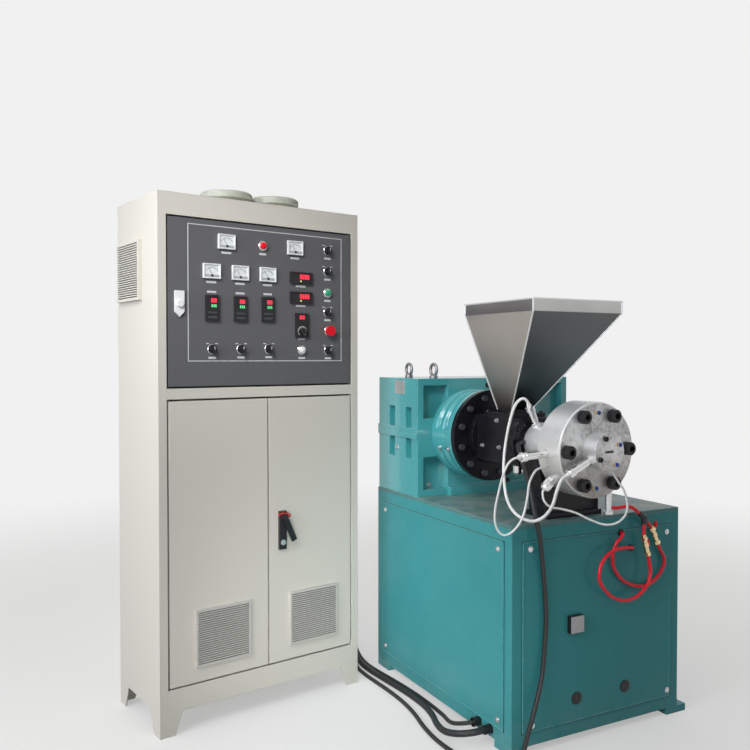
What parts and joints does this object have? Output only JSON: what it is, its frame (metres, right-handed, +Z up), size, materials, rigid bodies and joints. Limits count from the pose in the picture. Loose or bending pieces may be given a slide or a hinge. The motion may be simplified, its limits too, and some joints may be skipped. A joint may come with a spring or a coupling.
{
  "type": "magnetic strip extruder",
  "caption": "Screw extruder for flexible magnetic strip: base, gear housing, hopper, heated barrel and round die, with its control cabinet.",
  "frame": {"origin": "middle of the machine's floor plan, on the floor, without its cords", "axes": "+Z up, -Y the way the barrel points, +X across the machine from the control cabinet to the extruder"},
  "size_m": [1.783, 1.3084, 1.856],
  "materials": {
    "teal_paint": "satin",
    "teal_casting": "gloss",
    "deck_paint": "satin",
    "dark_plastic": "matte",
    "bright_plate": "satin",
    "dark_steel": "satin",
    "black_iron": "satin",
    "hopper_steel": "brushed",
    "bright_steel": "turned",
    "chrome": "polished",
    "cabinet_white": "powder coat",
    "cabinet_beige": "powder coat",
    "fan_cream": "satin",
    "panel_grey": "satin",
    "meter_case": "gloss",
    "signal_red": "gloss",
    "white_sleeve": "woven",
    "red_hose": "satin",
    "black_rubber": "matte",
    "brass_fitting": "machined"
  },
  "bodies": {
    "root": {"base_posts": "teal_paint", "base_rails": "teal_paint", "anchor_feet": "teal_paint", "deck_plate": "deck_paint", "front_panel": "teal_paint", "cover_panels": "teal_paint", "panel_latch": "dark_plastic", "gear_housing_lower": "teal_casting", "gear_housing_upper": "teal_casting", "lifting_eyes": "dark_steel", "output_boss": "teal_casting", "flange_disc": "black_iron", "flange_bolts": "dark_steel", "feed_block": "black_iron", "hopper_seat": "black_iron", "hopper_side_walls": "hopper_steel", "hopper_end_walls": "hopper_steel", "barrel": "bright_steel", "heater_band": "bright_steel", "heater_plugs": "chrome", "die_drum": "bright_steel", "die_nose": "bright_steel", "die_bolts": "dark_steel", "barrel_support": "black_iron", "coolant_pipe": "bright_steel", "cabinet_sides": "cabinet_white", "cabinet_back": "cabinet_white", "roof_and_floor": "cabinet_white", "front_stiles": "cabinet_beige", "front_rails": "cabinet_beige", "cabinet_feet": "cabinet_beige", "hinge_pins": "dark_steel", "roof_fans": "fan_cream", "side_grille": "cabinet_white", "cable_glands": "dark_plastic", "heater_cable": "black_rubber", "motor_cable": "black_rubber", "control_cable": "black_rubber", "loop_lead": "white_sleeve", "side_lead": "white_sleeve", "front_lead": "white_sleeve", "supply_hose": "red_hose", "left_hose": "red_hose", "right_hose": "red_hose", "hose_fittings": "brass_fitting"},
    "instrument_panel": {"instrument_door": "panel_grey", "panel_lock": "bright_plate", "meters": "meter_case", "temperature_controllers": "dark_plastic", "digital_displays": "dark_plastic", "selector_knobs": "dark_plastic", "push_buttons": "bright_plate", "emergency_stop": "signal_red"},
    "left_leaf": {"left_door": "cabinet_beige", "left_grille": "cabinet_beige"},
    "right_leaf": {"right_door": "cabinet_beige", "right_grille": "cabinet_beige", "door_handle": "dark_plastic"}
  },
  "joints": [
    {"name": "instrument_panel_hinge", "type": "hinge", "parent": "root", "child": "instrument_panel", "pos_m": [-0.08262, 0.28369, 1.1538], "axis": [0, 0, 1], "range_deg": [0, 90]},
    {"name": "left_door_hinge", "type": "hinge", "parent": "root", "child": "left_leaf", "pos_m": [-0.77855, 0.17097, 0.154], "axis": [0, 0, -1], "range_deg": [0, 110]},
    {"name": "right_door_hinge", "type": "hinge", "parent": "root", "child": "right_leaf", "pos_m": [-0.08262, 0.28369, 0.154], "axis": [0, 0, 1], "range_deg": [0, 100]}
  ]
}
